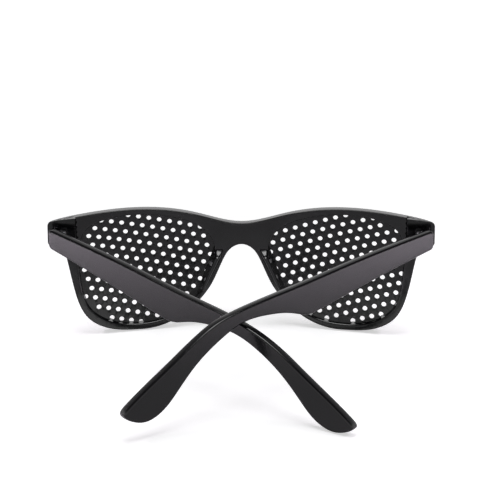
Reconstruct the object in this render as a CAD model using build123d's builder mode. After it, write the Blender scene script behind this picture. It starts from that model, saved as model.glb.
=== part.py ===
# Pinhole glasses: a black moulded front with two perforated plates in place of lenses,
# and two temples that fold on small metal hinges. Millimetres, +Z up, +Y ahead of the wearer.
# The glasses stand on the lower edges of their rims and on the tip of the left temple.
# Both temples are partly folded, and the right one lies over the left.

import os
from math import asin, cos, radians, sin, sqrt

from build123d import *

# Front
front_width = 144.8
front_height = 47.0
bridge_top = 41.2  # height of the bridge's upper edge over the lowest point of the rims
nose_top = 32.6  # height of the top of the nose arch
frame_depth = 4.0  # thickness of the rims, front to back
front_lean = 6.72  # degrees that the front leans ahead at its top, as it stands
front_ahead = 48.75  # how far the foot of the front's plane is ahead of the origin
bow_radius = 94.0  # the front and its plates are bowed to this radius, both ways
bow_start = 22.3  # distance from the middle where the front starts to bow back
bow_height = 25.3  # height at which the bowed front is parallel to its plane
bow_sweep = 44.0  # degrees of the bow, bottom to top, that the front is cut from

# End pieces
end_top = 42.6  # height of the end piece's upper corner
end_height = 7.8
end_inner = 62.0  # distance of the end piece's inner side from the middle
end_root = 8.0  # how far behind the apex its thickening starts, inside the bowed front
end_bottom = 34.0  # height down to which it is thickened
end_corner = 1.4  # rounding of its corners
end_fall = 0.5  # slope of the outline on its way into and out of the end piece
butt_depth = 18.6  # depth of the flat that the temple closes against, behind the front's apex

# Openings and the plates in them
opening_width = 51.6
opening_height = 42.8
opening_middle = 35.8  # distance of the opening's middle from the front's middle
opening_bottom = 2.2
plate_thickness = 0.8
plate_set_back = 1.4  # from the front's face to the plate's face
plate_lip = 1.1  # how far the plate reaches into the groove of the rim
groove_clearance = 0.05

# Pinholes
hole_pitch = 3.93
hole_diameter = 1.8
hole_sides = 6  # each hole is cut as a hexagon around the real round one
hole_slope_left = -11.3  # degrees that the rows of holes slope, seen from behind
hole_slope_right = 16.6
hexagon_angle = 60  # degrees between two rows that cross
# One hole's place from the middle of its opening, as shares of the pitch
hole_start_left_share = (0.153, -0.331)
hole_start_right_share = (0.458, -0.229)

# Moulded nose pads
pad_height = 3.4  # how far the pads stand out behind the rims
pad_root = 1.6  # how deep they are rooted in the rims

# Hinges: one knuckle of the temple between two of the front, on a screw
hinge_across = 66.5  # distance of the hinge axis from the middle
hinge_up = 38.4  # height of the hinge's middle, measured up the front
hinge_behind_butt = 1.6
butt_gap = 0.3
knuckle_radius = 1.4
screw_radius = 0.65
running_clearance = 0.05
hinge_height = 6.0
middle_knuckle = 2.0
leaf_thickness = 0.9
leaf_tang = 3.0  # how deep the front leaf is set in the end piece
leaf_length = 9.5
leaf_height = 4.0
leaf_clearance = 0.03
screw_head_radius = 1.15
screw_head_height = 0.5
screw_slot = 0.35  # width and depth of the slot in the head

# Temples
temple_length = 137.0  # from the hinge axis to the tip
temple_thickness = 3.8
temple_offset = 5.9  # from the hinge axis to the temple's outer face
temple_top = 3.9  # height of the upper edge over the hinge's middle, at the hinge
temple_bottom = 2.8  # depth of the lower edge under it
kink_depth = 8.93  # depth of the lower edge at its kink, where the neck begins
kink_round = 4.0
left_hang = 21.5  # how far each ear end, bent down after moulding, hangs below its hinge
right_hang = 24.6
ear_curve_start = 94.0  # from here the ear ends also curve towards the head
ear_curve = 3.0  # how far, at the tip
temple_slope = 9.8  # degrees that the open temples point down from square to the front
left_fold = 55.6  # degrees from open
right_fold = 53.4
left_droop = 2.35  # degrees that the left temple hangs in its hinge's play
right_rise = 1.45  # degrees that the right temple rides up, on the left one

overrun = 2.0  # how far cutting shapes reach past what they cut

# Outlines, as shares of half the front's width and of its height
brow_shares = [(0.23, 0.945), (0.48, 1.0), (0.85, 0.970)]
cheek_shares = [(0.915, 0.60), (0.878, 0.35), (0.805, 0.125), (0.68, 0.018), (0.53, 0.0)]
nose_shares = [(0.384, 0.047), (0.285, 0.140), (0.163, 0.347), (0.095, 0.570), (0.058, 0.655)]
# Opening, as shares of its width and height from its lower inner corner
opening_shares = [
    (0.004, 0.66), (0.045, 0.80), (0.13, 0.890), (0.33, 0.972), (0.55, 1.0), (0.80, 0.972),
    (0.945, 0.885), (0.992, 0.72), (0.985, 0.42), (0.925, 0.17), (0.80, 0.050), (0.56, 0.0),
    (0.30, 0.075), (0.135, 0.245), (0.030, 0.45),
]
# Nose pad's foot and crest, as shares of half the front's width and of its height
pad_foot_shares = [(0.068, 0.655), (0.168, 0.300), (0.205, 0.310), (0.140, 0.655)]
pad_crest_shares = [(0.118, 0.555), (0.170, 0.390), (0.186, 0.395), (0.142, 0.560)]
# Temple's edges behind the hinge, as shares of its length and of the kink's depth
upper_shares = [(0.267, 0.403), (0.435, 0.336), (0.652, 0.213)]
lower_shares = [(0.218, -0.692), (0.089, -0.469)]
kink_share = 0.425
neck_shares = [(0.613, -0.308), (0.524, -0.525)]
# Ear end, as shares of the temple's length and of the end's hang
ear_upper_shares = [(0.702, 0.048), (0.764, -0.065), (0.840, -0.270), (0.935, -0.545), (0.978, -0.685)]
tip_share = (1.0, -0.800)
ear_lower_shares = [
    (0.980, -0.930), (0.936, -1.0), (0.890, -0.912), (0.835, -0.668), (0.769, -0.370), (0.702, -0.200),
]

half_width = front_width / 2
lean = radians(front_lean)
lowest_share = cheek_shares[-1][0]
foot_across = lowest_share * half_width
foot_depth = bow_radius - sqrt(bow_radius**2 - (foot_across - bow_start) ** 2 - bow_height**2)

# The front's plane: x across, y up along the front, z behind it, from its foremost line.
# It is lowered so that the rims' lower edges stand on the ground.
front_plane = Plane(
    origin=(0, front_ahead, -foot_depth * sin(lean)),
    x_dir=(1, 0, 0),
    z_dir=(0, -cos(lean), sin(lean)),
)
hinge_depth = butt_depth + hinge_behind_butt


def front_point(across, up, behind):
    return front_plane.from_local_coords(Vector(across, up, behind))


def scaled(shares, side, width, height, across=0.0, up=0.0):
    return [(side * (across + x * width), up + y * height) for x, y in shares]


def bowed_sheet(depth, thickness):
    """The shell between two depths behind the front's face: straight across the middle,
    and part of a ball beyond bow_start on each side."""
    outer = bow_radius - depth
    inner = outer - thickness
    end_angle = asin((half_width + overrun - bow_start) / inner)
    centre = front_point(0, bow_height, bow_radius)
    lower = front_plane.y_dir.rotate(Axis((0, 0, 0), (1, 0, 0)), -bow_sweep / 2)
    with BuildPart() as sheet:
        with BuildSketch(Plane(origin=centre, x_dir=(1, 0, 0), z_dir=lower)):
            with BuildLine():
                for radius in (outer, inner):
                    Line((-bow_start, radius), (bow_start, radius))
                    for side in (1, -1):
                        points = [
                            (side * (bow_start + radius * sin(a)), radius * cos(a))
                            for a in (0, end_angle / 2, end_angle)
                        ]
                        ThreePointArc(*points)
                for side in (1, -1):
                    Line(
                        (side * (bow_start + outer * sin(end_angle)), outer * cos(end_angle)),
                        (side * (bow_start + inner * sin(end_angle)), inner * cos(end_angle)),
                    )
            make_face()
        revolve(axis=Axis(centre, (1, 0, 0)), revolution_arc=bow_sweep)
    return sheet.part


def half_outline(side):
    """One half of the front, seen square to its plane, without its opening."""
    end_corners = [(side * half_width, end_top), (side * half_width, end_top - end_height)]
    lowest = (side * lowest_share * half_width, 0)
    with BuildSketch() as sketch:
        with BuildLine():
            Spline(
                (0, bridge_top),
                *scaled(brow_shares, side, half_width, front_height),
                end_corners[0],
                tangents=[(side, 0), (side, -end_fall)],
            )
            Line(*end_corners)
            Spline(
                end_corners[1],
                *scaled(cheek_shares, side, half_width, front_height),
                tangents=[(-side, -end_fall), (-side, 0)],
            )
            Spline(
                lowest,
                *scaled(nose_shares, side, half_width, front_height),
                (0, nose_top),
                tangents=[(-side, 0), (-side, 0)],
            )
            Line((0, nose_top), (0, bridge_top))
        make_face()
        outermost = sketch.vertices().sort_by(lambda v: side * v.X)[-2:]
        fillet(outermost, end_corner)
    return sketch.sketch


def opening_face(side, growth):
    """An opening's outline, larger by growth all round."""
    width = opening_width + 2 * growth
    height = opening_height + 2 * growth
    with BuildSketch() as sketch:
        with BuildLine():
            Spline(
                scaled(
                    opening_shares, side, width, height,
                    opening_middle - width / 2, opening_bottom - growth,
                ),
                periodic=True,
            )
        make_face()
    return sketch.sketch


def end_block(side):
    """The thicker end piece, drawn in plan and raised from its lower end."""
    plan = Plane(
        origin=front_point(0, end_bottom, 0), x_dir=(1, 0, 0), z_dir=-front_plane.y_dir
    )
    with BuildPart() as block:
        with BuildSketch(plan):
            with BuildLine():
                Polyline(
                    (side * end_inner, butt_depth),
                    (side * end_inner, end_root),
                    (side * half_width, end_root),
                    (side * half_width, butt_depth),
                    close=True,
                )
            make_face()
        extrude(amount=-front_height)
    return block.part


def pad(side):
    """A nose pad: a wedge that rises from the rim beside the nose."""
    with BuildPart() as wedge:
        for shares, depth in (
            (pad_foot_shares, frame_depth - pad_root),
            (pad_crest_shares, frame_depth + pad_height),
        ):
            with BuildSketch(front_plane.offset(depth)):
                with BuildLine():
                    Polyline(*scaled(shares, side, half_width, front_height), close=True)
                make_face()
        loft()
    return wedge.part


def pinhole_centres(side, slope, start_share):
    """Places of a hexagonal field of holes whose middles lie inside the opening."""
    field = opening_face(side, 0).faces()[0]
    middle = Vector(side * opening_middle, opening_bottom + opening_height / 2)
    first = middle + Vector(*start_share) * hole_pitch
    row = Vector(hole_pitch, 0).rotate(Axis.Z, slope)
    next_row = row.rotate(Axis.Z, hexagon_angle)
    reach = int(opening_width / hole_pitch) + 1
    places = []
    for i in range(-reach, reach + 1):
        for j in range(-reach, reach + 1):
            place = first + row * i + next_row * j
            if field.is_inside(place):
                places.append((place.X, place.Y))
    return places


def turned(direction, side, fold):
    """A direction turned about the hinge axis, as a temple's is when it folds."""
    return direction.rotate(Axis((0, 0, 0), front_plane.y_dir), -side * fold)


def hinge_frame(side, fold=0.0):
    """x across, y ahead and z up the hinge axis, turned with a temple that is folded."""
    origin = front_point(side * hinge_across, hinge_up, hinge_depth)
    return Plane(origin=origin, x_dir=turned(Vector(1, 0, 0), side, fold), z_dir=front_plane.y_dir)


def temple_frame(side, fold, rise):
    """x back along the temple, y up, and z towards the wearer's left when it is open."""
    open_back = front_plane.z_dir.rotate(Axis((0, 0, 0), (1, 0, 0)), temple_slope)
    across = turned(Vector(-1, 0, 0), side, fold)
    back = turned(open_back, side, fold).rotate(Axis((0, 0, 0), across), rise)
    origin = front_point(side * hinge_across, hinge_up, hinge_depth)
    return Plane(origin=origin, x_dir=back, z_dir=across)


def pinhole_plate(side, slope, start_share):
    with BuildPart() as plate:
        with BuildSketch(front_plane):
            add(opening_face(side, plate_lip))
        extrude(amount=butt_depth)
        add(bowed_sheet(plate_set_back, plate_thickness), mode=Mode.INTERSECT)
        with BuildSketch(front_plane):
            with Locations(*pinhole_centres(side, slope, start_share)):
                RegularPolygon(hole_diameter / 2, hole_sides, major_radius=False)
        extrude(amount=butt_depth, mode=Mode.SUBTRACT)
    return plate


def front_leaf(side):
    """Two knuckles and the tang that is set in the end piece."""
    frame = hinge_frame(side)
    low = frame.offset(-hinge_height / 2)
    tang_end = hinge_behind_butt + leaf_tang
    with BuildPart() as leaf:
        with BuildSketch(low):
            Circle(knuckle_radius)
            with Locations((0, tang_end / 2)):
                Rectangle(leaf_thickness, tang_end)
        extrude(amount=hinge_height)
        with BuildSketch(frame.offset(-middle_knuckle / 2 - running_clearance)):
            Circle(knuckle_radius + 2 * running_clearance)
        extrude(amount=middle_knuckle + 2 * running_clearance, mode=Mode.SUBTRACT)
        with BuildSketch(low):
            Circle(screw_radius)
        extrude(amount=hinge_height, mode=Mode.SUBTRACT)
    return leaf


def temple_leaf(side, fold):
    """The middle knuckle, its arm, and the plate that is let into the temple's inner face."""
    frame = hinge_frame(side, fold)
    inner_face = temple_offset - temple_thickness
    arm_end = inner_face + leaf_thickness
    with BuildPart() as leaf:
        with BuildSketch(frame.offset(-middle_knuckle / 2)):
            Circle(knuckle_radius)
            with Locations((side * arm_end / 2, leaf_thickness / 2 - knuckle_radius)):
                Rectangle(arm_end, leaf_thickness)
            Circle(screw_radius + running_clearance, mode=Mode.SUBTRACT)
        extrude(amount=middle_knuckle)
        plate_middle = leaf_thickness - knuckle_radius - leaf_length / 2
        with BuildSketch(frame.offset(-leaf_height / 2)):
            with Locations((side * (arm_end - leaf_thickness / 2), plate_middle)):
                Rectangle(leaf_thickness, leaf_length)
        extrude(amount=leaf_height)
    return leaf


def hinge_screw(side):
    frame = hinge_frame(side)
    with BuildPart() as screw:
        with BuildSketch(frame.offset(-hinge_height / 2)):
            Circle(screw_radius)
        extrude(amount=hinge_height)
        with BuildSketch(frame.offset(hinge_height / 2)):
            Circle(screw_head_radius)
        extrude(amount=screw_head_height)
        with BuildSketch(frame.offset(hinge_height / 2 + screw_head_height)):
            Rectangle(2 * screw_head_radius, screw_slot)
        extrude(amount=-screw_slot, mode=Mode.SUBTRACT)
    return screw


def side_outline(hang):
    """A temple seen from its side: x back from the hinge axis, y up."""
    front = -(hinge_behind_butt + overrun)
    kink = (kink_share * temple_length, -kink_depth)
    tip = (tip_share[0] * temple_length, tip_share[1] * hang)
    with BuildSketch() as sketch:
        with BuildLine():
            Spline(
                (front, temple_top),
                *scaled(upper_shares, 1, temple_length, kink_depth),
                *scaled(ear_upper_shares, 1, temple_length, hang),
                tip,
                *scaled(ear_lower_shares, 1, temple_length, hang),
                *scaled(neck_shares, 1, temple_length, kink_depth),
                kink,
            )
            Spline(
                kink,
                *scaled(lower_shares, 1, temple_length, kink_depth),
                (front, -temple_bottom),
            )
            Line((front, -temple_bottom), (front, temple_top))
        make_face()
        fillet(sketch.vertices().sort_by_distance(kink)[0], kink_round)
    return sketch.sketch


def curved_band(side, frame):
    """The temple's thickness seen from above: straight, then curved in towards the head."""
    front = -(hinge_behind_butt + overrun)
    run = temple_length - ear_curve_start
    radius = (run**2 + ear_curve**2) / (2 * ear_curve)
    middle = side * (temple_offset - radius)
    end_angle = asin((run + overrun) / (radius - temple_thickness))
    plan = Plane(
        origin=frame.origin - frame.y_dir * front_height, x_dir=frame.x_dir, z_dir=frame.y_dir
    )
    with BuildPart() as band:
        with BuildSketch(plan):
            with BuildLine():
                ends = []
                for reach in (radius, radius - temple_thickness):
                    face = middle + side * reach
                    curve = [
                        (ear_curve_start + reach * sin(a), middle + side * reach * cos(a))
                        for a in (0, end_angle / 2, end_angle)
                    ]
                    Line((front, face), (ear_curve_start, face))
                    ThreePointArc(*curve)
                    ends.append(((front, face), curve[-1]))
                for start, end in zip(*ends):
                    Line(start, end)
            make_face()
        extrude(amount=2 * front_height)
    return band.part


def temple(side, fold, rise, hang):
    frame = temple_frame(side, fold, rise)
    hinge = hinge_frame(side, fold)
    inner_face = temple_offset - temple_thickness
    with BuildPart() as arm:
        with BuildSketch(frame):
            add(side_outline(hang))
        extrude(amount=2 * temple_offset, both=True)
        add(curved_band(side, frame), mode=Mode.INTERSECT)
        butt = hinge_behind_butt - butt_gap
        with BuildSketch(hinge.offset(-front_height)):
            with Locations((0, butt)):
                Rectangle(front_width, front_width, align=(Align.CENTER, Align.MIN))
        extrude(amount=2 * front_height, mode=Mode.SUBTRACT)
        pocket_length = leaf_length + 2 * leaf_clearance
        pocket_middle = leaf_thickness - knuckle_radius - leaf_length / 2
        with BuildSketch(hinge.offset(-leaf_height / 2 - leaf_clearance)):
            with Locations((side * (inner_face + leaf_thickness / 2), pocket_middle)):
                Rectangle(leaf_thickness + 2 * leaf_clearance, pocket_length)
        extrude(amount=leaf_height + 2 * leaf_clearance, mode=Mode.SUBTRACT)
    return arm


# Front frame
with BuildPart() as front_outline:
    with BuildSketch(front_plane):
        for side in (1, -1):
            add(half_outline(side))
    extrude(amount=butt_depth)

with BuildPart() as solid_front:
    add(front_outline.part)
    add(bowed_sheet(0, frame_depth), mode=Mode.INTERSECT)
    for side in (1, -1):
        add(end_block(side) & front_outline.part)
        add(pad(side))
    with BuildSketch(front_plane):
        for side in (1, -1):
            add(opening_face(side, 0))
    extrude(amount=butt_depth, mode=Mode.SUBTRACT)
    add(bowed_sheet(0, butt_depth), mode=Mode.INTERSECT)

# Grooves that the plates are snapped into
with BuildPart() as grooves:
    with BuildSketch(front_plane):
        for side in (1, -1):
            add(opening_face(side, plate_lip + groove_clearance))
    extrude(amount=butt_depth)
    add(
        bowed_sheet(plate_set_back - groove_clearance, plate_thickness + 2 * groove_clearance),
        mode=Mode.INTERSECT,
    )

# Slots for the tangs of the front hinge leaves
with BuildPart() as tang_slots:
    for side in (1, -1):
        with BuildSketch(hinge_frame(side).offset(-hinge_height / 2 - leaf_clearance)):
            with Locations((0, hinge_behind_butt)):
                Rectangle(
                    leaf_thickness + 2 * leaf_clearance,
                    leaf_tang + leaf_clearance,
                    align=(Align.CENTER, Align.MIN),
                )
        extrude(amount=hinge_height + 2 * leaf_clearance)

with BuildPart() as front_frame:
    add(solid_front.part)
    add(grooves.part, mode=Mode.SUBTRACT)
    add(tang_slots.part, mode=Mode.SUBTRACT)

pieces = {
    "front_frame": front_frame,
    "pinhole_plate_left": pinhole_plate(-1, hole_slope_left, hole_start_left_share),
    "pinhole_plate_right": pinhole_plate(1, hole_slope_right, hole_start_right_share),
    "temple_left": temple(-1, left_fold, -left_droop, left_hang),
    "temple_right": temple(1, right_fold, right_rise, right_hang),
    "front_hinge_leaf_left": front_leaf(-1),
    "front_hinge_leaf_right": front_leaf(1),
    "temple_hinge_leaf_left": temple_leaf(-1, left_fold),
    "temple_hinge_leaf_right": temple_leaf(1, right_fold),
    "hinge_screw_left": hinge_screw(-1),
    "hinge_screw_right": hinge_screw(1),
}
os.makedirs("parts", exist_ok=True)
for name, piece in pieces.items():
    piece.part.label = name
    export_step(piece.part, f"parts/{name}.step")
    print(name, round(piece.part.volume, 2))
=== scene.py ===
from math import ceil, cos, pi, radians, sin, sqrt

import bmesh
import bpy
import numpy as np
from mathutils import Matrix, Vector
from mathutils.geometry import delaunay_2d_cdt


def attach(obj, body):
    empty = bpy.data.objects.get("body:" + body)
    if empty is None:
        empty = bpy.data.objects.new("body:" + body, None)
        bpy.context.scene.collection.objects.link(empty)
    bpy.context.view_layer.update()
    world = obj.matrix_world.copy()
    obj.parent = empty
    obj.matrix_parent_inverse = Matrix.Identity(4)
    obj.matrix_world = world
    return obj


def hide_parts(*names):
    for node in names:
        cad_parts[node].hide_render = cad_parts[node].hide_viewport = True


# Pinhole glasses: a bowed black front with two perforated plates, and two folding temples.
# The pieces' dictionaries hold millimetres and degrees; mm turns a length to metres.

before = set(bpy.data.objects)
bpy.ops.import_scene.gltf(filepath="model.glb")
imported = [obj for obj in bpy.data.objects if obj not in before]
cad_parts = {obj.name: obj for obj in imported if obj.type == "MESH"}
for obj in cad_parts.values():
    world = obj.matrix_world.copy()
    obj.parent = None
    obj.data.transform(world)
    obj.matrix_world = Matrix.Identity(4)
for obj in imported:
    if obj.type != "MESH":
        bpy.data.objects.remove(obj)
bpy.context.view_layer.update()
mm = 0.001

# weld and sheetWeld are in metres, capWeld in millimetres; latticeGap is a share of the lattice's spacing
making = {
    "weld": 1e-7, "sheetWeld": 1e-6, "capWeld": 1e-7, "latticeGap": 0.55, "sharpAngle": 32, "evenWeight": 60,
}

front = {
    "halfWidth": 72.4, "height": 47.0, "bridgeTop": 41.2, "noseTop": 32.6, "depth": 4.0,
    "lean": 6.72, "ahead": 48.75,
    "bowRadius": 94.0, "bowStart": 22.3, "bowHeight": 25.3,
    "endTop": 44.5, "endHeight": 8.5, "endFall": 0.5, "endCorner": 1.2,
    "buttDepth": 17.9, "rimShort": 0.3,
    "edgeRound": 0.45, "facets": 1.1, "capSpacing": 1.2,
}
# the rims are lowest at this share of the half width
lowestShare = 0.53


def bowedDepth(across, up, depth):
    # how far behind the front's foremost plane a point of the bowed sheet lies
    out = max(abs(across) - front["bowStart"], 0)
    radius = front["bowRadius"] - depth
    return front["bowRadius"] - sqrt(radius ** 2 - out ** 2 - (up - front["bowHeight"]) ** 2)


leanAngle = radians(front["lean"])
upFront = Vector((0, sin(leanAngle), cos(leanAngle)))
behindFront = Vector((0, -cos(leanAngle), sin(leanAngle)))
footDepth = bowedDepth(lowestShare * front["halfWidth"], 0, 0)
frontFoot = Vector((0, front["ahead"], -footDepth * sin(leanAngle)))


def frontPoint(across, up, behind):
    return (frontFoot + Vector((across, 0, 0)) + upFront * up + behindFront * behind) * mm


def smoothLine(points, step, startWay=None, endWay=None, closed=False):
    # points along the smooth curve through the given ones, at most about a step apart
    p = np.array(points, float)
    if closed:
        p = np.vstack([p, p[:1]])
    count = len(p)
    chord = np.linalg.norm(np.diff(p, axis=0), axis=1)
    rate = np.diff(p, axis=0) / chord[:, None]
    rows = np.zeros((count, count))
    right = np.zeros((count, 2))
    for i in range(1, count - 1):
        rows[i, i - 1], rows[i, i + 1] = chord[i], chord[i - 1]
        rows[i, i] = 2 * (chord[i - 1] + chord[i])
        right[i] = 3 * (chord[i] * rate[i - 1] + chord[i - 1] * rate[i])
    if closed:
        last = count - 1
        rows[0, 0], rows[0, last] = 1, -1
        rows[last, last - 1], rows[last, 1] = chord[0], chord[-1]
        rows[last, 0], rows[last, last] = chord[-1], 2 * chord[0] + chord[-1]
        right[last] = 3 * (chord[0] * rate[-1] + chord[-1] * rate[0])
    else:
        ends = ((0, 1, startWay, rate[0]), (count - 1, count - 2, endWay, rate[-1]))
        for end, near, way, slope in ends:
            if way is None:
                rows[end, end], rows[end, near] = 2, 1
                right[end] = 3 * slope
            else:
                rows[end, end] = 1
                right[end] = np.array(way, float) / np.linalg.norm(way)
    speed = np.linalg.solve(rows, right)
    line = []
    for i in range(count - 1):
        for t in np.linspace(0, 1, max(2, ceil(chord[i] / step)) + 1)[:-1]:
            a, b = 2 * t**3 - 3 * t**2 + 1, t**3 - 2 * t**2 + t
            c, d = 3 * t**2 - 2 * t**3, t**3 - t**2
            line.append(a * p[i] + b * chord[i] * speed[i] + c * p[i + 1] + d * chord[i] * speed[i + 1])
    if not closed:
        line.append(p[-1])
    return [tuple(q) for q in line]


def turned(start, corner, end, steps):
    # points on the curve that leaves one side of a corner at start and meets the other at end
    return [
        tuple(start * (1 - t) ** 2 + corner * 2 * t * (1 - t) + end * t**2)
        for t in np.linspace(0, 1, steps + 1)
    ]


def roundCorner(line, point, radius, steps=5):
    # a rounded turn in place of a closed line's corner at the given point
    count = len(line)
    corner = int(np.argmin(np.sum((np.array(line) - point) ** 2, axis=1)))
    here = np.array(line[corner])

    def walk(way):
        left, at, i = radius, here, corner
        while True:
            i = (i + way) % count
            ahead = np.array(line[i])
            gap = np.linalg.norm(ahead - at)
            if gap > left:
                return at + (ahead - at) * left / gap, i
            left, at = left - gap, ahead

    (start, before), (end, after) = walk(-1), walk(1)
    kept = [line[(after + i) % count] for i in range((before - after) % count + 1)]
    return turned(start, here, end, steps) + kept


def softCorners(corners, amount, steps=4, most=0.45):
    # always the same number of points, so that rings of different size can be bridged;
    # a turn takes up at most the given share of a side
    line = []
    for i, here in enumerate(corners):
        here, ends = np.array(here), []
        for other in (corners[i - 1], corners[(i + 1) % len(corners)]):
            way = np.array(other) - here
            size = np.linalg.norm(way)
            ends.append(here + way / size * min(amount, most * size))
        line += turned(ends[0], here, ends[1], steps)
    return line


def area(line):
    x, y = np.array(line).T
    return 0.5 * float(np.sum(x * np.roll(y, -1) - np.roll(x, -1) * y))


def wound(line, outer):
    # anticlockwise for an outer edge, clockwise for the edge of an opening
    return line if (area(line) > 0) == outer else line[::-1]


def insetLine(line, distance):
    # each point moves into the material; a corner's point moves up to twice the distance
    p = np.array(line)
    before, after = p - np.roll(p, 1, axis=0), np.roll(p, -1, axis=0) - p
    before /= np.linalg.norm(before, axis=1)[:, None]
    after /= np.linalg.norm(after, axis=1)[:, None]
    way = before + after
    way /= np.linalg.norm(way, axis=1)[:, None]
    normal = np.stack([-way[:, 1], way[:, 0]], 1)
    stretch = np.clip(np.sum(way * after, axis=1), 1 / 2, 1)
    return p + normal * (distance / stretch)[:, None]


def inside(points, lines):
    # which points lie between the outer line and the openings' lines
    points = np.array(points)
    hit = np.zeros(len(points), bool)
    for line in lines:
        a = np.array(line)
        b = np.roll(a, -1, axis=0)
        for (x0, y0), (x1, y1) in zip(a, b):
            if y0 == y1:
                continue
            crosses = (points[:, 1] > y0) != (points[:, 1] > y1)
            hit ^= crosses & (points[:, 0] < x0 + (points[:, 1] - y0) * (x1 - x0) / (y1 - y0))
    return hit


def cap(lines, spacing):
    # triangles that fill the area between the lines, with a lattice of points inside;
    # a spacing of 0 leaves the lattice out
    flat = [tuple(q) for line in lines for q in line]
    edges, start = [], 0
    for line in lines:
        edges += [(start + i, start + (i + 1) % len(line)) for i in range(len(line))]
        start += len(line)
    every = np.array(flat)
    low, high = every.min(0), every.max(0)
    lattice = []
    if spacing:
        rise = spacing * sqrt(3) / 2
        for row in range(int((high[1] - low[1]) / rise) + 2):
            for column in range(int((high[0] - low[0]) / spacing) + 2):
                lattice.append((low[0] + (column + row % 2 / 2) * spacing, low[1] + row * rise))
        lattice = np.array(lattice)
        lattice = lattice[inside(lattice, lines)]
        gaps = np.array([np.min(np.sum((every - q) ** 2, axis=1)) for q in lattice])
        lattice = lattice[gaps > (making["latticeGap"] * spacing) ** 2]
    points = [Vector(q) for q in flat] + [Vector(q) for q in lattice]
    found, _, faces, origins, _, _ = delaunay_2d_cdt(points, edges, [], 0, making["capWeld"])
    middles = [sum((found[i] for i in face), Vector((0, 0))) / len(face) for face in faces]
    kept = inside([tuple(m) for m in middles], lines)
    names = [origin[0] if origin else None for origin in origins]
    triangles = [[names[i] for i in face] for face, keep in zip(faces, kept) if keep]
    return [tuple(q) for q in lattice], triangles


def makeObject(name, vertices, faces):
    mesh = bpy.data.meshes.new(name)
    mesh.from_pydata([tuple(v) for v in vertices], [], faces)
    shape = bmesh.new()
    shape.from_mesh(mesh)
    bmesh.ops.remove_doubles(shape, verts=shape.verts, dist=making["weld"])
    bmesh.ops.recalc_face_normals(shape, faces=shape.faces)
    shape.to_mesh(mesh)
    shape.free()
    piece = bpy.data.objects.new(name, mesh)
    bpy.context.scene.collection.objects.link(piece)
    return piece


def slab(name, lines, rings, place, spacing):
    # a solid with the given edges; each ring is how far in and how deep it lies, near to far
    lines = [wound(line, i == 0) for i, line in enumerate(lines)]
    starts = [sum(len(line) for line in lines[:i]) for i in range(len(lines))]
    edgeCount = sum(len(line) for line in lines)
    vertices, faces = [], []
    for inset, depth in rings:
        for line in lines:
            vertices += [place(x, y, depth) for x, y in insetLine(line, inset)]
    for ring in range(len(rings) - 1):
        for start, line in zip(starts, lines):
            first = ring * edgeCount + start
            for i in range(len(line)):
                a, b = first + i, first + (i + 1) % len(line)
                faces.append([a, b, b + edgeCount, a + edgeCount])
    for ring in (0, len(rings) - 1):
        inset, depth = rings[ring]
        lattice, triangles = cap([insetLine(line, inset).tolist() for line in lines], spacing)
        ringStart, latticeStart = ring * edgeCount, len(vertices) - edgeCount
        vertices += [place(x, y, depth) for x, y in lattice]
        for triangle in triangles:
            faces.append([i + (ringStart if i < edgeCount else latticeStart) for i in triangle])
    return makeObject(name, vertices, faces)


def plainMesh(piece):
    # the piece's modifiers are worked into its mesh
    bpy.context.view_layer.update()
    shown = piece.evaluated_get(bpy.context.evaluated_depsgraph_get())
    mesh = bpy.data.meshes.new_from_object(shown)
    piece.modifiers.clear()
    piece.data = mesh


def joined(piece, others, operation="UNION"):
    for other in others:
        step = piece.modifiers.new("join", "BOOLEAN")
        step.operation, step.solver, step.object = operation, "EXACT", other
    plainMesh(piece)
    for other in others:
        bpy.data.objects.remove(other)


def smoothShade(piece):
    piece.data.polygons.foreach_set("use_smooth", [True] * len(piece.data.polygons))
    piece.data.set_sharp_from_angle(angle=radians(making["sharpAngle"]))
    even = piece.modifiers.new("even", "WEIGHTED_NORMAL")
    even.keep_sharp, even.weight = True, making["evenWeight"]
    plainMesh(piece)


def dress(piece, material):
    piece.data.materials.clear()
    piece.data.materials.append(material)


def roundedRings(depth, near, far, steps=4):
    # how far in and how deep each ring of a slab lies; near and far are its edges' radii
    turns = [radians(90 * i / steps) for i in range(steps + 1)]
    nearRings = [(near * (1 - sin(a)), near * (1 - cos(a))) for a in turns]
    return nearRings + [(far * (1 - sin(a)), depth - far * (1 - cos(a))) for a in reversed(turns)]


def draftedRings(depth, near, far, parting, draft):
    # as roundedRings, but the side falls away from a parting line by the mould's draft:
    # all of it towards the far face, half of it towards the near one
    slope = sin(radians(draft))
    nearDraft, farDraft = (parting - near) * slope / 2, (depth - far - parting) * slope
    rings = [
        (inset + (nearDraft if deep < parting else farDraft), deep)
        for inset, deep in roundedRings(depth, near, far)
    ]
    half = len(rings) // 2
    return rings[:half] + [(0.0, parting)] + rings[half:]


# Materials

noiseDetail = {"cloud": 3.0, "ripple": 1.0, "grain": 2.0}
# the values of a noise that stand for the least and the most roughness
noiseBand = (0.3, 0.7)


def linear(code):
    # an sRGB hex colour as linear red, green, blue and alpha
    parts = [int(code[i:i + 2], 16) / 255 for i in (1, 3, 5)]
    return tuple([c / 12.92 if c <= 0.04045 else ((c + 0.055) / 1.055) ** 2.4 for c in parts] + [1.0])


def addNode(tree, kind, settings=None, values=None, links=None):
    item = tree.nodes.new(kind)
    for name, value in (settings or {}).items():
        setattr(item, name, value)
    for name, value in (values or {}).items():
        item.inputs[name].default_value = value
    for name, source in (links or {}).items():
        tree.links.new(source, item.inputs[name])
    return item


def newMaterial(name):
    material = bpy.data.materials.new(name)
    material.use_nodes = True
    return material, material.node_tree


def objectPlace(tree):
    return addNode(tree, "ShaderNodeTexCoord").outputs["Object"]


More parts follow.
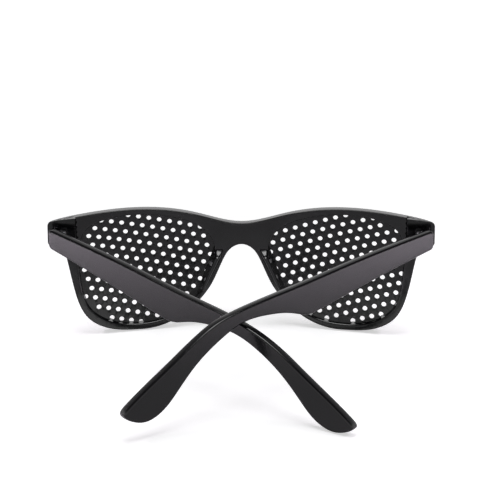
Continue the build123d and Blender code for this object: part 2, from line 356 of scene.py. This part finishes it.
def noise(tree, place, size, detail):
    # the size of its spots is in millimetres
    return addNode(
        tree, "ShaderNodeTexNoise", values={"Scale": 1 / (size * mm), "Detail": detail},
        links={"Vector": place},
    ).outputs["Fac"]


def mapped(tree, value, given, wanted):
    # the given range of a value becomes the wanted one
    return addNode(
        tree, "ShaderNodeMapRange",
        values={"From Min": given[0], "From Max": given[1], "To Min": wanted[0], "To Max": wanted[1]},
        links={"Value": value},
    ).outputs["Result"]


def mouldedPlastic(name, look):
    # black plastic from a polished mould: deep gloss, a little uneven in tint and polish, faintly rippled
    material, tree = newMaterial(name)
    shader, place = tree.nodes["Principled BSDF"], objectPlace(tree)
    cloud = noise(tree, place, look["cloud"], noiseDetail["cloud"])
    tint = addNode(tree, "ShaderNodeMix", {"data_type": "RGBA"}, links={"Factor": cloud})
    tint.inputs["A"].default_value = linear(look["dark"])
    tint.inputs["B"].default_value = linear(look["light"])
    relief = addNode(
        tree, "ShaderNodeBump", values={"Strength": 1.0, "Distance": look["rippleDepth"] * mm},
        links={"Height": noise(tree, place, look["ripple"], noiseDetail["ripple"])},
    )
    tree.links.new(tint.outputs["Result"], shader.inputs["Base Color"])
    tree.links.new(mapped(tree, cloud, noiseBand, look["roughness"]), shader.inputs["Roughness"])
    tree.links.new(relief.outputs["Normal"], shader.inputs["Normal"])
    shader.inputs["IOR"].default_value = look["ior"]
    return material


def platedSteel(name, look):
    # nickel-plated steel stampings: bright, with fine drawing lines from the press
    material, tree = newMaterial(name)
    shader = tree.nodes["Principled BSDF"]
    drawn = addNode(
        tree, "ShaderNodeMapping", values={"Scale": (1.0, 1.0, look["drawn"])},
        links={"Vector": objectPlace(tree)},
    )
    grain = noise(tree, drawn.outputs["Vector"], look["grain"], noiseDetail["grain"])
    tree.links.new(mapped(tree, grain, (0.0, 1.0), look["roughness"]), shader.inputs["Roughness"])
    shader.inputs["Base Color"].default_value = linear(look["colour"])
    shader.inputs["Metallic"].default_value = 1.0
    return material


finishes = {
    "front": {
        "dark": "#0c0c0e", "light": "#111113", "roughness": (0.10, 0.16), "ior": 1.58,
        "cloud": 9.0, "ripple": 5.0, "rippleDepth": 0.003,
    },
    "plates": {
        "dark": "#0b0b0d", "light": "#0f0f12", "roughness": (0.14, 0.22), "ior": 1.58,
        "cloud": 7.0, "ripple": 5.0, "rippleDepth": 0.003,
    },
    "temples": {
        "dark": "#0f0e10", "light": "#141316", "roughness": (0.12, 0.17), "ior": 1.52,
        "cloud": 14.0, "ripple": 6.0, "rippleDepth": 0.002,
    },
    "hinges": {"colour": "#b9b9bb", "roughness": (0.22, 0.4), "grain": 0.25, "drawn": 8.0},
}
frontPlastic = mouldedPlastic("polishedBlackFrontPlastic", finishes["front"])
platePlastic = mouldedPlastic("polishedBlackPlatePlastic", finishes["plates"])
templePlastic = mouldedPlastic("satinBlackTemplePlastic", finishes["temples"])
hingeSteel = platedSteel("nickelPlatedHingeSteel", finishes["hinges"])
print("materials made")

# Front frame

# points are shares of the half width and the height; those of the opening are shares of its own size
outline = {
    "brow": [(0.23, 0.950), (0.48, 1.005), (0.85, 0.985), (0.945, 0.969)],
    "cheek": [
        (0.932, 0.715), (0.904, 0.60), (0.871, 0.35), (0.805, 0.125), (0.68, 0.018), (lowestShare, 0.0),
    ],
    "cheekFall": 0.25,
    "nose": [(0.384, 0.047), (0.285, 0.140), (0.163, 0.347), (0.095, 0.570), (0.058, 0.655)],
    "opening": [
        (0.004, 0.66), (0.045, 0.80), (0.13, 0.890), (0.33, 0.972), (0.55, 1.0), (0.80, 0.972),
        (0.945, 0.885), (0.992, 0.72), (0.985, 0.42), (0.925, 0.17), (0.80, 0.050), (0.56, 0.0),
        (0.30, 0.075), (0.135, 0.245), (0.030, 0.45),
    ],
    "openingWidth": 51.6, "openingHeight": 42.8, "openingMiddle": 35.8, "openingBottom": 2.2,
}


def shared(shares, side, width, height, across=0.0, up=0.0):
    return [(side * (across + x * width), up + y * height) for x, y in shares]


def halfEdge():
    # the right half, from the middle of the brow round to the top of the nose arch
    wide, high, step = front["halfWidth"], front["height"], front["facets"]
    brow = smoothLine(
        [(0, front["bridgeTop"])] + shared(outline["brow"], 1, wide, high) + [(wide, front["endTop"])],
        step, (1, 0), (1, -front["endFall"]),
    )
    cheek = smoothLine(
        [(wide, front["endTop"] - front["endHeight"])] + shared(outline["cheek"], 1, wide, high),
        step, (-1, -outline["cheekFall"]), (-1, 0),
    )
    nose = smoothLine(
        [(lowestShare * wide, 0)] + shared(outline["nose"], 1, wide, high) + [(0, front["noseTop"])],
        step, (-1, 0), (-1, 0),
    )
    return brow, cheek, nose


def frontEdge():
    brow, cheek, nose = halfEdge()
    half = brow + cheek + nose[1:]
    edge = half + [(-x, y) for x, y in half[-2:0:-1]]
    for x, y in (brow[-1], cheek[0]):
        for side in (1, -1):
            edge = roundCorner(edge, (side * x, y), front["endCorner"])
    return edge


def openingEdge(side, growth=0.0, step=front["facets"]):
    width, height = outline["openingWidth"] + 2 * growth, outline["openingHeight"] + 2 * growth
    points = shared(
        outline["opening"], side, width, height,
        outline["openingMiddle"] - width / 2, outline["openingBottom"] - growth,
    )
    return smoothLine(points, step, closed=True)


def frontPlace(x, y, depth):
    # far out the rims' rear face stays a little ahead of the end pieces' flat
    return frontPoint(x, y, min(bowedDepth(x, y, depth), front["buttDepth"] - front["rimShort"]))


# the outline's points are sorted round a point that lies centre further out and up than inner and bottom
endBlock = {
    "inner": 62.0, "bottom": 34.0, "centre": 4.0, "underBrow": 0.05, "tuckedIn": 0.4,
    "root": 1.5, "leastDepth": 0.6, "rootRound": 0.05, "flatRound": 0.12,
}


def endPiece(side, edge):
    # the outer part of the outline, thickened back to the flat that a temple closes on
    inner, bottom, root = endBlock["inner"], endBlock["bottom"], endBlock["root"]
    middle = (side * (inner + endBlock["centre"]), bottom + endBlock["centre"])
    kept = [q for q in edge if side * q[0] > inner and q[1] > bottom]
    kept.sort(key=lambda q: -np.arctan2(q[1] - middle[1], side * (q[0] - middle[0])))
    plan = [(side * inner, bottom), (side * inner, kept[0][1] - endBlock["underBrow"])]
    plan += kept + [(kept[-1][0] - side * endBlock["tuckedIn"], bottom)]

    def place(x, y, depth):
        # depth 0 lies inside the rim's wall, and the full depth is the flat
        start = min(bowedDepth(x, y, root), front["buttDepth"] - endBlock["leastDepth"])
        return frontPoint(x, y, start + (front["buttDepth"] - start) * depth / root)

    rings = roundedRings(root, endBlock["rootRound"], endBlock["flatRound"])
    return slab("endPiece", [plan], rings, place, spacing=0)


# foot and crest are shares as in outline; root lies inside the rim, and each ring is a share of the way
# from there to the pad's top, and how far in it lies
pad = {
    "foot": [(0.060, 0.700), (0.222, 0.215), (0.250, 0.230), (0.138, 0.700)],
    "crest": [(0.112, 0.600), (0.200, 0.310), (0.215, 0.318), (0.138, 0.604)],
    "height": 3.4, "root": 1.2, "corner": 1.0,
    "rings": [(0.0, 0.0), (0.2, 0.0), (0.4, 0.0), (0.6, 0.0), (0.85, 0.03), (0.95, 0.15), (1.0, 0.4)],
}


def nosePad(side):
    # a wedge with hollow sides and soft edges, moulded on the rim beside the nose arch
    foot, crest = (shared(pad[k], side, front["halfWidth"], front["height"]) for k in ("foot", "crest"))
    low, top = front["depth"] - pad["root"], front["depth"] + pad["height"]
    rings = []
    for share, inset in pad["rings"]:
        hollow = 1 - (1 - share) ** 2
        corners = [tuple(np.array(a) * (1 - hollow) + np.array(b) * hollow) for a, b in zip(foot, crest)]
        line = wound(softCorners(corners, pad["corner"]), True)
        if inset:
            line = insetLine(line, inset)
        rings.append([frontPoint(x, y, low + (top - low) * share) for x, y in line])
    count, last = len(rings[0]), len(rings) - 1
    faces = []
    for ring in range(last):
        for i in range(count):
            a, b = ring * count + i, ring * count + (i + 1) % count
            faces.append([a, b, b + count, a + count])
    faces += [list(range(count)), list(range(last * count, (last + 1) * count))]
    return makeObject("nosePad", [q for ring in rings for q in ring], faces)


edge = frontEdge()
frontShell = slab(
    "front_shell", [edge, openingEdge(1), openingEdge(-1)],
    roundedRings(front["depth"], front["edgeRound"], front["edgeRound"]), frontPlace, front["capSpacing"],
)
joined(frontShell, [endPiece(side, edge) for side in (1, -1)] + [nosePad(side) for side in (1, -1)])
smoothShade(frontShell)
dress(frontShell, frontPlastic)
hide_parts("front_frame")
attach(frontShell, "front")
print("front frame made:", len(frontShell.data.polygons), "faces")

# Pinhole plates, as Geometry Nodes: a lattice of holes cut from the opening's outline, then bowed

# start is where a hole lies from the opening's middle, in pitches; droop is per millimetre
plates = {
    "thickness": 0.8, "setBack": 1.4, "lip": 0.9, "facets": 1.0,
    "pitch": 3.93, "holeRadius": 0.9, "holeFacets": 24, "latticeCount": 31,
    "slope": {-1: -11.3, 1: 16.6}, "start": {-1: (0.153, -0.331), 1: (0.458, -0.229)},
    "droop": 0.00106, "droopHeight": 28.0,
    "holeRound": 0.12, "roundSegments": 2, "roundedFrom": 40,
}


def perforatedSheetTree(material):
    tree = bpy.data.node_groups.new("perforatedSheet", "GeometryNodeTree")
    sockets = tree.interface
    sockets.new_socket("Geometry", in_out="INPUT", socket_type="NodeSocketGeometry")
    for name, kind in (
        ("Pitch", "Float"), ("Hole Radius", "Float"), ("Slope", "Float"), ("Start", "Vector"),
        ("Middle", "Vector"), ("Field Scale", "Vector"), ("Set Back", "Float"), ("Thickness", "Float"),
        ("Bow Radius", "Float"), ("Bow Start", "Float"), ("Bow Height", "Float"), ("Lean", "Vector"),
        ("Foot", "Vector"), ("Row Count", "Int"), ("Hole Facets", "Int"),
        ("Side", "Float"), ("Droop", "Float"), ("Droop Height", "Float"),
    ):
        sockets.new_socket(name, in_out="INPUT", socket_type="NodeSocket" + kind)
    sockets.new_socket("Geometry", in_out="OUTPUT", socket_type="NodeSocketGeometry")
    given = addNode(tree, "NodeGroupInput").outputs

    def geometry(kind, links, output="Geometry", settings=None, values=None):
        return addNode(tree, "GeometryNode" + kind, settings, values, links).outputs[output]

    def maths(operation, a, b=None):
        item = addNode(tree, "ShaderNodeMath", {"operation": operation})
        for slot, value in enumerate((a, b)):
            if value is None:
                continue
            if isinstance(value, (int, float)):
                item.inputs[slot].default_value = value
            else:
                tree.links.new(value, item.inputs[slot])
        return item.outputs[0]

    def position():
        return addNode(tree, "GeometryNodeInputPosition").outputs["Position"]

    def apart():
        return addNode(tree, "ShaderNodeSeparateXYZ", links={"Vector": position()}).outputs

    def together(**links):
        return addNode(tree, "ShaderNodeCombineXYZ", links=links).outputs["Vector"]

    def beyondFlat(across):
        # how far out of the flat middle part a point lies
        return maths("MAXIMUM", maths("SUBTRACT", maths("ABSOLUTE", across), given["Bow Start"]), 0)

    # a square lattice of points, sheared into a hexagonal one
    span = maths("MULTIPLY", given["Pitch"], maths("SUBTRACT", given["Row Count"], 1))
    lattice = geometry("MeshGrid", {
        "Size X": span, "Size Y": span, "Vertices X": given["Row Count"], "Vertices Y": given["Row Count"],
    }, "Mesh")
    spot = apart()
    hexagonal = geometry("SetPosition", {"Geometry": lattice, "Position": together(
        X=maths("ADD", spot["X"], maths("MULTIPLY", spot["Y"], cos(pi / 3))),
        Y=maths("MULTIPLY", spot["Y"], sin(pi / 3)),
    )})
    sloped = geometry("Transform", {
        "Geometry": hexagonal, "Translation": given["Start"], "Rotation": together(Z=given["Slope"]),
    })

    # the sheet is perforated flat and then bowed: along the bow the rows keep their length,
    # and its lower corners are drawn in a little more
    spot = apart()
    along = beyondFlat(spot["X"])
    reach = maths("MULTIPLY", given["Bow Radius"], maths("SINE", maths("DIVIDE", along, given["Bow Radius"])))
    below = maths("SUBTRACT", given["Droop Height"], spot["Y"])
    drooped = maths("MULTIPLY", maths("MULTIPLY", below, along), given["Droop"])
    drawnIn = maths("ADD", maths("SUBTRACT", along, reach), drooped)
    pressed = geometry("SetPosition", {"Geometry": sloped, "Position": together(
        X=maths("SUBTRACT", spot["X"], maths("MULTIPLY", drawnIn, given["Side"])), Y=spot["Y"],
    )})

    # the opening itself, a little smaller than the plate: holes have their middles inside it,
    # which a ray from a metre above each point finds out
    rim = geometry("MeshToCurve", {"Mesh": given["Geometry"]}, "Curve")
    toMiddle = addNode(tree, "ShaderNodeVectorMath", {"operation": "SCALE"}, {"Scale": -1.0})
    tree.links.new(given["Middle"], toMiddle.inputs[0])
    centred = geometry("Transform", {"Geometry": rim, "Translation": toMiddle.outputs["Vector"]})
    shrunk = geometry("Transform", {
        "Geometry": centred, "Scale": given["Field Scale"], "Translation": given["Middle"],
    })
    field = geometry("FillCurve", {"Curve": shrunk}, "Mesh")
    above = addNode(tree, "ShaderNodeVectorMath", {"operation": "ADD"})
    tree.links.new(position(), above.inputs[0])
    above.inputs[1].default_value = (0, 0, 1)
    hit = geometry(
        "Raycast", {"Target Geometry": field, "Source Position": above.outputs["Vector"]}, "Is Hit",
        values={"Ray Length": 2.0},
    )
    outside = addNode(tree, "FunctionNodeBooleanMath", {"operation": "NOT"})
    tree.links.new(hit, outside.inputs[0])
    holePlaces = geometry(
        "DeleteGeometry", {"Geometry": pressed, "Selection": outside.outputs["Boolean"]},
        settings={"domain": "POINT"},
    )
    circle = geometry(
        "CurvePrimitiveCircle", {"Radius": given["Hole Radius"], "Resolution": given["Hole Facets"]}, "Curve",
        {"mode": "RADIUS"},
    )
    holes = geometry("InstanceOnPoints", {"Points": holePlaces, "Instance": circle}, "Instances")
    allHoles = geometry("RealizeInstances", {"Geometry": holes})

    # outline and holes filled as one sheet, given its thickness, and closed at the front
    lines = addNode(tree, "GeometryNodeJoinGeometry")
    tree.links.new(allHoles, lines.inputs["Geometry"])
    tree.links.new(rim, lines.inputs["Geometry"])
    sheet = geometry("FillCurve", {"Curve": lines.outputs["Geometry"]}, "Mesh")
    thick = addNode(tree, "GeometryNodeExtrudeMesh", {"mode": "FACES"}, links={
        "Mesh": sheet, "Offset Scale": given["Thickness"],
    })
    thick.inputs["Individual"].default_value = False
    thick.inputs["Offset"].default_value = (0, 0, 1)
    nearFace = geometry("FlipFaces", {"Mesh": sheet}, "Mesh")
    closed = addNode(tree, "GeometryNodeJoinGeometry")
    tree.links.new(thick.outputs["Mesh"], closed.inputs["Geometry"])
    tree.links.new(nearFace, closed.inputs["Geometry"])
    whole = geometry(
        "MergeByDistance", {"Geometry": closed.outputs["Geometry"]}, values={"Distance": making["sheetWeld"]},
    )

    # bowed: flat across the middle, part of a ball beyond
    spot = apart()
    out = beyondFlat(spot["X"])
    up = maths("SUBTRACT", spot["Y"], given["Bow Height"])
    radius = maths("SUBTRACT", maths("SUBTRACT", given["Bow Radius"], given["Set Back"]), spot["Z"])
    squared = maths("SUBTRACT", maths("MULTIPLY", radius, radius), maths("MULTIPLY", out, out))
    squared = maths("SUBTRACT", squared, maths("MULTIPLY", up, up))
    behind = maths("SUBTRACT", given["Bow Radius"], maths("SQRT", squared))
    bowed = geometry("SetPosition", {
        "Geometry": whole, "Position": together(X=spot["X"], Y=spot["Y"], Z=behind),
    })
    stood = geometry("Transform", {
        "Geometry": bowed, "Rotation": given["Lean"], "Translation": given["Foot"],
    })
    finish = geometry("SetMaterial", {"Geometry": stood}, values={"Material": material})
    addNode(tree, "NodeGroupOutput", links={"Geometry": finish})
    return tree


sheetTree = perforatedSheetTree(platePlastic)


def pinholePlate(side, name, node):
    lip = plates["lip"]
    rim = openingEdge(side, lip, plates["facets"])
    count = len(rim)
    mesh = bpy.data.meshes.new(name)
    mesh.from_pydata([(x * mm, y * mm, 0) for x, y in rim], [(i, (i + 1) % count) for i in range(count)], [])
    plate = bpy.data.objects.new(name, mesh)
    bpy.context.scene.collection.objects.link(plate)
    wide, high = outline["openingWidth"], outline["openingHeight"]
    middle = (side * outline["openingMiddle"], outline["openingBottom"] + high / 2)
    start = [c + share * plates["pitch"] for c, share in zip(middle, plates["start"][side])]
    values = {
        "Pitch": plates["pitch"] * mm, "Hole Radius": plates["holeRadius"] * mm,
        "Slope": radians(plates["slope"][side]), "Start": (start[0] * mm, start[1] * mm, 0),
        "Middle": (middle[0] * mm, middle[1] * mm, 0),
        "Field Scale": (wide / (wide + 2 * lip), high / (high + 2 * lip), 1),
        "Set Back": plates["setBack"] * mm, "Thickness": plates["thickness"] * mm,
        "Bow Radius": front["bowRadius"] * mm, "Bow Start": front["bowStart"] * mm,
        "Bow Height": front["bowHeight"] * mm, "Lean": (pi / 2 - leanAngle, 0, 0),
        "Foot": tuple(frontFoot * mm), "Row Count": plates["latticeCount"],
        "Hole Facets": plates["holeFacets"], "Side": side,
        "Droop": plates["droop"] / mm, "Droop Height": plates["droopHeight"] * mm,
    }
    work = plate.modifiers.new("perforate", "NODES")
    work.node_group = sheetTree
    for item in sheetTree.interface.items_tree:
        if item.in_out == "INPUT" and item.name in values:
            work[item.identifier] = values[item.name]
    soft = plate.modifiers.new("soft", "BEVEL")
    soft.width, soft.segments = plates["holeRound"] * mm, plates["roundSegments"]
    soft.limit_method, soft.angle_limit = "ANGLE", radians(plates["roundedFrom"])
    plainMesh(plate)
    smoothShade(plate)
    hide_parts(node)
    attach(plate, "front")
    print(name, "made:", len(plate.data.polygons), "faces")


pinholePlate(-1, "perforated_plate_left", "pinhole_plate_left")
pinholePlate(1, "perforated_plate_right", "pinhole_plate_right")

# Temples

# points are shares: along the length, and of kinkDepth or, from the ear's curve on, of hang
temples = {
    "length": 137.0, "thickness": 3.4, "offset": 5.9, "top": 4.7, "bottom": 2.4,
    "kinkDepth": 8.93, "kinkShare": 0.425, "kinkRound": 4.0, "endRound": 1.6,
    "curveStart": 94.0, "curve": 3.0, "slope": 9.8, "outerRound": 0.65, "innerRound": 0.35,
    "parting": 1.9, "draft": 7.0, "facets": 1.2, "capSpacing": 4.0,
    "hingeAcross": 66.5, "hingeUp": 38.4, "hingeDepth": 20.2, "butt": 2.15,
    "upper": [(0.267, 0.498), (0.435, 0.410), (0.652, 0.300)],
    "lower": [(0.218, -0.620), (0.089, -0.410)],
    "neck": [(0.625, -0.222), (0.543, -0.330), (0.496, -0.505)],
    "earUpper": [(0.702, 0.070), (0.764, -0.050), (0.840, -0.259), (0.935, -0.536), (0.978, -0.678)],
    "tip": [(1.0, -0.800)],
    "earLower": [
        (0.980, -0.930), (0.936, -1.0), (0.890, -0.912), (0.835, -0.668), (0.769, -0.385), (0.702, -0.200),
    ],
    "hang": {-1: 21.5, 1: 24.6}, "fold": {-1: 55.6, 1: 53.4}, "rise": {-1: -2.35, 1: 1.45},
    "leafOut": 2.1, "leafLength": 9.5, "leafHeight": 4.0, "leafThickness": 0.9, "knuckleRadius": 1.4,
    "pocketClearance": 0.03,
}


def templeFrame(side):
    # the hinge's middle, the ways back, up and across of the folded temple, and the fold itself
    fold = Matrix.Rotation(radians(-side * temples["fold"][side]), 3, upFront)
    openBack = Matrix.Rotation(radians(temples["slope"]), 3, "X") @ behindFront
    across = fold @ Vector((-1, 0, 0))
    back = Matrix.Rotation(radians(temples["rise"][side]), 3, across) @ (fold @ openBack)
    foot = frontPoint(side * temples["hingeAcross"], temples["hingeUp"], temples["hingeDepth"])
    return foot, back, across.cross(back), across, fold


def templeEdge(side, frontUp):
    long, deep, hang = temples["length"], temples["kinkDepth"], temples["hang"][side]
    upper, lower, neck = (shared(temples[k], 1, long, deep) for k in ("upper", "lower", "neck"))
    ear = [q for k in ("earUpper", "tip", "earLower") for q in shared(temples[k], 1, long, hang)]
    kink = (temples["kinkShare"] * long, -deep)
    upFrontEnd, lowFrontEnd = frontUp(temples["top"]), frontUp(-temples["bottom"])
    edge = smoothLine([upFrontEnd] + upper + ear + neck + [kink], temples["facets"])
    edge += smoothLine([kink] + lower + [lowFrontEnd], temples["facets"])[1:]
    for corner, amount in ((kink, "kinkRound"), (lowFrontEnd, "endRound"), (upFrontEnd, "endRound")):
        edge = roundCorner(edge, corner, temples[amount])
    return edge


def hingePocket(side, foot, fold):
    # the room that the hinge leaf lies in, outward of the hinge's axis
    sideways, ahead = fold @ Vector((1, 0, 0)), -(fold @ behindFront)
    thick, long, high = temples["leafThickness"], temples["leafLength"], temples["leafHeight"]
    leafMiddle = thick - temples["knuckleRadius"] - long / 2
    centre = foot + (sideways * side * (temples["leafOut"] + thick / 2) + ahead * leafMiddle) * mm
    x, y, z = (size / 2 + temples["pocketClearance"] for size in (thick, long, high))
    corners = [
        centre + (sideways * x * a + ahead * y * b + upFront * z * c) * mm
        for a in (-1, 1) for b in (-1, 1) for c in (-1, 1)
    ]
    sides = [[0, 1, 3, 2], [4, 6, 7, 5], [0, 4, 5, 1], [2, 3, 7, 6], [0, 2, 6, 4], [1, 5, 7, 3]]
    return makeObject("pocket", corners, sides)


def temple(side, name, node, body):
    foot, back, up, across, fold = templeFrame(side)
    ahead = -(fold @ behindFront)

    def frontUp(height):
        # where the flat end that closes on the end piece crosses this height
        return ((temples["butt"] - ahead.dot(up) * height) / ahead.dot(back), height)

    run = temples["length"] - temples["curveStart"]
    radius = (run**2 + temples["curve"]**2) / (2 * temples["curve"])

    def place(x, y, depth):
        # depth 0 is the outer face; beyond curveStart the whole thickness curves in
        reach = radius - depth
        past = max(x - temples["curveStart"], 0)
        level = temples["offset"] - radius + (sqrt(reach**2 - past**2) if past else reach)
        return foot + (back * x + up * y - across * side * level) * mm

    rings = draftedRings(
        temples["thickness"], temples["outerRound"], temples["innerRound"],
        temples["parting"], temples["draft"],
    )
    piece = slab(name, [templeEdge(side, frontUp)], rings, place, temples["capSpacing"])
    joined(piece, [hingePocket(side, foot, fold)], "DIFFERENCE")
    smoothShade(piece)
    dress(piece, templePlastic)
    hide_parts(node)
    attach(piece, body)
    print(name, "made:", len(piece.data.polygons), "faces")


temple(-1, "moulded_temple_left", "temple_left", "left_temple")
temple(1, "moulded_temple_right", "temple_right", "right_temple")

# Hinges keep their CAD shape and get their metal
for node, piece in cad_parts.items():
    if "hinge" in node:
        for holder in piece.material_slots:
            holder.material = hingeSteel

# Floor, lights and camera, in metres

studio = {
    "floorSize": 6.0, "floorGrey": "#e6e6e8", "floorGlow": (0.58, 1.0), "glowReach": (0.16, 0.6),
    "worldLevel": 0.12,
    # the hood's two edges are a radius and a height; its glow fades between two heights
    "hood": {"low": (1.25, 0.44), "high": (0.42, 1.15), "sides": 48, "glow": 0.55, "fade": (0.44, 0.85)},
    "lamps": [
        # name, place, looks at, size, watts, spread in degrees, seen in reflections, colour
        ("overhead", (0.0, 0.0, 1.12), (0, 0, 0), (0.6, 0.6), 5.8, 180, True, "#ffffff"),
        ("leftFloor", (-0.44, 0.02, 0.34), (-0.292, 0.0, 0), (0.12, 0.2), 0.58, 48, False, "#fff3ff"),
        ("rightFloor", (0.44, 0.02, 0.34), (0.292, 0.0, 0), (0.12, 0.2), 0.58, 48, False, "#fff3ff"),
    ],
}


def glowing(tree, level):
    return addNode(tree, "ShaderNodeEmission", links={"Strength": level}).outputs["Emission"]


def floorMaterial():
    # white paper: the camera sees it near white, and it keeps the soft shadows
    material, tree = newMaterial("paleFloor")
    tree.nodes.remove(tree.nodes["Principled BSDF"])
    matt = addNode(
        tree, "ShaderNodeBsdfDiffuse", values={"Color": linear(studio["floorGrey"])},
    ).outputs["BSDF"]
    far = addNode(tree, "ShaderNodeVectorMath", {"operation": "LENGTH"})
    tree.links.new(objectPlace(tree), far.inputs[0])
    level = mapped(tree, far.outputs["Value"], studio["glowReach"], studio["floorGlow"])
    both = addNode(tree, "ShaderNodeAddShader")
    tree.links.new(matt, both.inputs[0])
    tree.links.new(glowing(tree, level), both.inputs[1])
    ray = addNode(tree, "ShaderNodeLightPath")
    seen = addNode(tree, "ShaderNodeMixShader", links={"Fac": ray.outputs["Is Camera Ray"]})
    tree.links.new(matt, seen.inputs[1])
    tree.links.new(both.outputs["Shader"], seen.inputs[2])
    tree.links.new(seen.outputs["Shader"], tree.nodes["Material Output"].inputs["Surface"])
    return material


def makeFloor():
    half = studio["floorSize"] / 2
    corners = [(x * half, y * half, 0) for x, y in ((-1, -1), (1, -1), (1, 1), (-1, 1))]
    floor = makeObject("floor", corners, [[0, 1, 2, 3]])
    floor.data.materials.append(floorMaterial())


def makeHood():
    # the dark upper part of the studio, round the soft box, with a painted reflection band that glows along
    # its lower edge: only reflections see it
    hood = studio["hood"]
    sides = hood["sides"]
    turns = [2 * pi * i / sides for i in range(sides)]
    points = [(r * cos(a), r * sin(a), h) for r, h in (hood["low"], hood["high"]) for a in turns]
    faces = [[i, (i + 1) % sides, sides + (i + 1) % sides, sides + i] for i in range(sides)]
    ring = makeObject("darkHood", points, faces)
    # painted reflection: an emission that glows grey low down and fades to black higher up, seen only in the
    # glossy plastic
    hoodPaintedReflection, tree = newMaterial("paintedReflectionHood")
    tree.nodes.remove(tree.nodes["Principled BSDF"])
    height = addNode(tree, "ShaderNodeSeparateXYZ", links={"Vector": objectPlace(tree)}).outputs["Z"]
    level = mapped(tree, height, hood["fade"], (hood["glow"], 0.0))
    tree.links.new(glowing(tree, level), tree.nodes["Material Output"].inputs["Surface"])
    ring.data.materials.append(hoodPaintedReflection)
    ring.visible_camera = ring.visible_diffuse = ring.visible_shadow = ring.visible_transmission = False


def makeWorld():
    # white to the camera and in reflections, and dim as a light
    world = bpy.data.worlds.new("studioWorld")
    bpy.context.scene.world = world
    world.use_nodes = True
    tree = world.node_tree
    dim = tree.nodes["Background"]
    dim.inputs["Color"].default_value = (1, 1, 1, 1)
    dim.inputs["Strength"].default_value = studio["worldLevel"]
    white = addNode(tree, "ShaderNodeBackground", values={"Color": (1, 1, 1, 1), "Strength": 1.0})
    ray = addNode(tree, "ShaderNodeLightPath").outputs
    seen = addNode(tree, "ShaderNodeMath", {"operation": "MAXIMUM"})
    tree.links.new(ray["Is Camera Ray"], seen.inputs[0])
    tree.links.new(ray["Is Glossy Ray"], seen.inputs[1])
    mix = addNode(tree, "ShaderNodeMixShader", links={"Fac": seen.outputs[0]})
    tree.links.new(dim.outputs["Background"], mix.inputs[1])
    tree.links.new(white.outputs["Background"], mix.inputs[2])
    tree.links.new(mix.outputs["Shader"], tree.nodes["World Output"].inputs["Surface"])


def makeLamps():
    for name, place, target, size, watts, spread, shows, colour in studio["lamps"]:
        lamp = bpy.data.lights.new(name, "AREA")
        lamp.shape, lamp.size, lamp.size_y, lamp.energy = "RECTANGLE", size[0], size[1], watts
        lamp.spread, lamp.color = radians(spread), linear(colour)[:3]
        holder = bpy.data.objects.new(name, lamp)
        holder.location = place
        holder.rotation_euler = (Vector(target) - Vector(place)).to_track_quat("-Z", "Y").to_euler()
        holder.visible_glossy = shows
        bpy.context.scene.collection.objects.link(holder)


# the photo's camera: its place in metres, its angles in degrees, its lens and sensor in millimetres
view = {
    "place": (0.011992, -0.65818, 0.322687), "yaw": -1.01859, "pitch": 22.21588, "roll": -0.27,
    "lens": 150.23, "sensor": 36.0, "nearest": 0.01, "farthest": 50,
}


def cameraMatrix():
    yaw, pitch, roll = (radians(view[k]) for k in ("yaw", "pitch", "roll"))
    level = Vector((cos(yaw), -sin(yaw), 0))
    ahead = Vector((sin(yaw), cos(yaw), 0))
    rise = ahead * sin(pitch) + Vector((0, 0, cos(pitch)))
    right = level * cos(roll) + rise * sin(roll)
    up = rise * cos(roll) - level * sin(roll)
    back = -(ahead * cos(pitch) - Vector((0, 0, sin(pitch))))
    turn = Matrix((right, up, back)).transposed()
    return Matrix.Translation(view["place"]) @ turn.to_4x4()


def makeCamera():
    cameraData = bpy.data.cameras.new("photoCamera")
    cameraData.lens, cameraData.sensor_width = view["lens"], view["sensor"]
    cameraData.clip_start, cameraData.clip_end = view["nearest"], view["farthest"]
    holder = bpy.data.objects.new("photoCamera", cameraData)
    bpy.context.scene.collection.objects.link(holder)
    holder.matrix_world = cameraMatrix()
    bpy.context.scene.camera = holder


makeFloor()
makeHood()
makeWorld()
makeLamps()
makeCamera()
bpy.context.scene.view_settings.view_transform = "Standard"
print("studio made")
